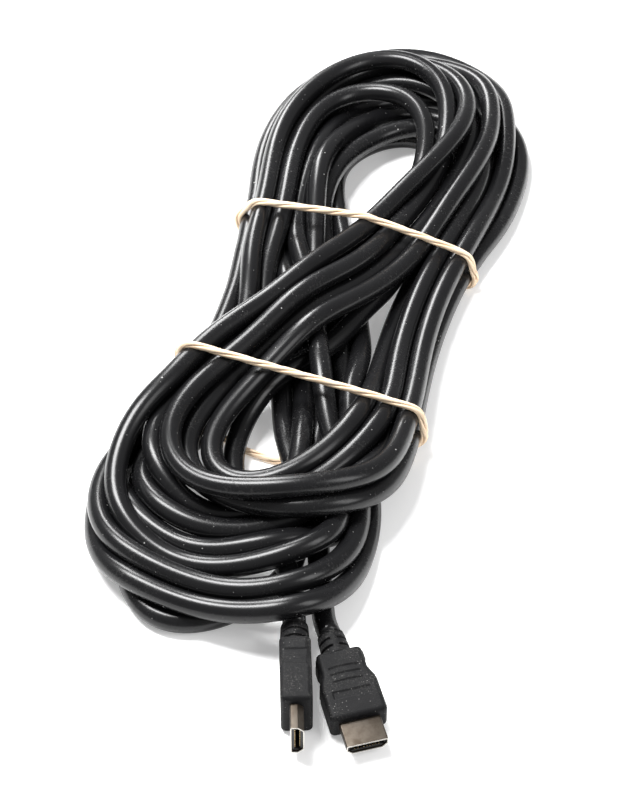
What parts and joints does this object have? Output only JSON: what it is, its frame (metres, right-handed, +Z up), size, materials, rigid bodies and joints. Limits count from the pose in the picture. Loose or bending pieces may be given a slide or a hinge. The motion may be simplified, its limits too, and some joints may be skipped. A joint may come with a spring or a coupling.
{
  "type": "hdmi cable",
  "caption": "Long black video cable with moulded metal-shelled plugs, wound into a crossed hank and held by twisted rubber bands.",
  "frame": {"origin": "centre of the whole object's footprint, on the surface that it lies on", "axes": "+Y along the hank, away from the plugs, +X across it, +Z up"},
  "size_m": [0.1526, 0.3624, 0.0312],
  "materials": {
    "cable_jacket": "semi-gloss black jacket with dust",
    "overmould": "matt black moulding with a fine grain and dust",
    "plug_shell": "dull nickel plate",
    "contact_insert": "matt black",
    "contact": "bright gold-coloured plate",
    "rubber_band": "natural rubber, matt"
  },
  "bodies": {
    "root": {"cable_hank": "cable_jacket", "cable_tail_right": "cable_jacket", "overmould_right": "overmould", "shell_right": "plug_shell", "contact_insert_right": "contact_insert", "contact_right_01": "contact", "contact_right_02": "contact", "contact_right_03": "contact", "contact_right_04": "contact", "contact_right_05": "contact", "contact_right_06": "contact", "contact_right_07": "contact", "contact_right_08": "contact", "contact_right_09": "contact", "contact_right_10": "contact", "contact_right_11": "contact", "contact_right_12": "contact", "contact_right_13": "contact", "contact_right_14": "contact", "contact_right_15": "contact", "contact_right_16": "contact", "contact_right_17": "contact", "contact_right_18": "contact", "contact_right_19": "contact", "cable_tail_left": "cable_jacket", "overmould_left": "overmould", "shell_left": "plug_shell", "contact_insert_left": "contact_insert", "contact_left_01": "contact", "contact_left_02": "contact", "contact_left_03": "contact", "contact_left_04": "contact", "contact_left_05": "contact", "contact_left_06": "contact", "contact_left_07": "contact", "contact_left_08": "contact", "contact_left_09": "contact", "contact_left_10": "contact", "contact_left_11": "contact", "contact_left_12": "contact", "contact_left_13": "contact", "contact_left_14": "contact", "contact_left_15": "contact", "contact_left_16": "contact", "contact_left_17": "contact", "contact_left_18": "contact", "contact_left_19": "contact", "rubber_band_upper": "rubber_band", "rubber_band_lower": "rubber_band"}
  },
  "joints": []
}
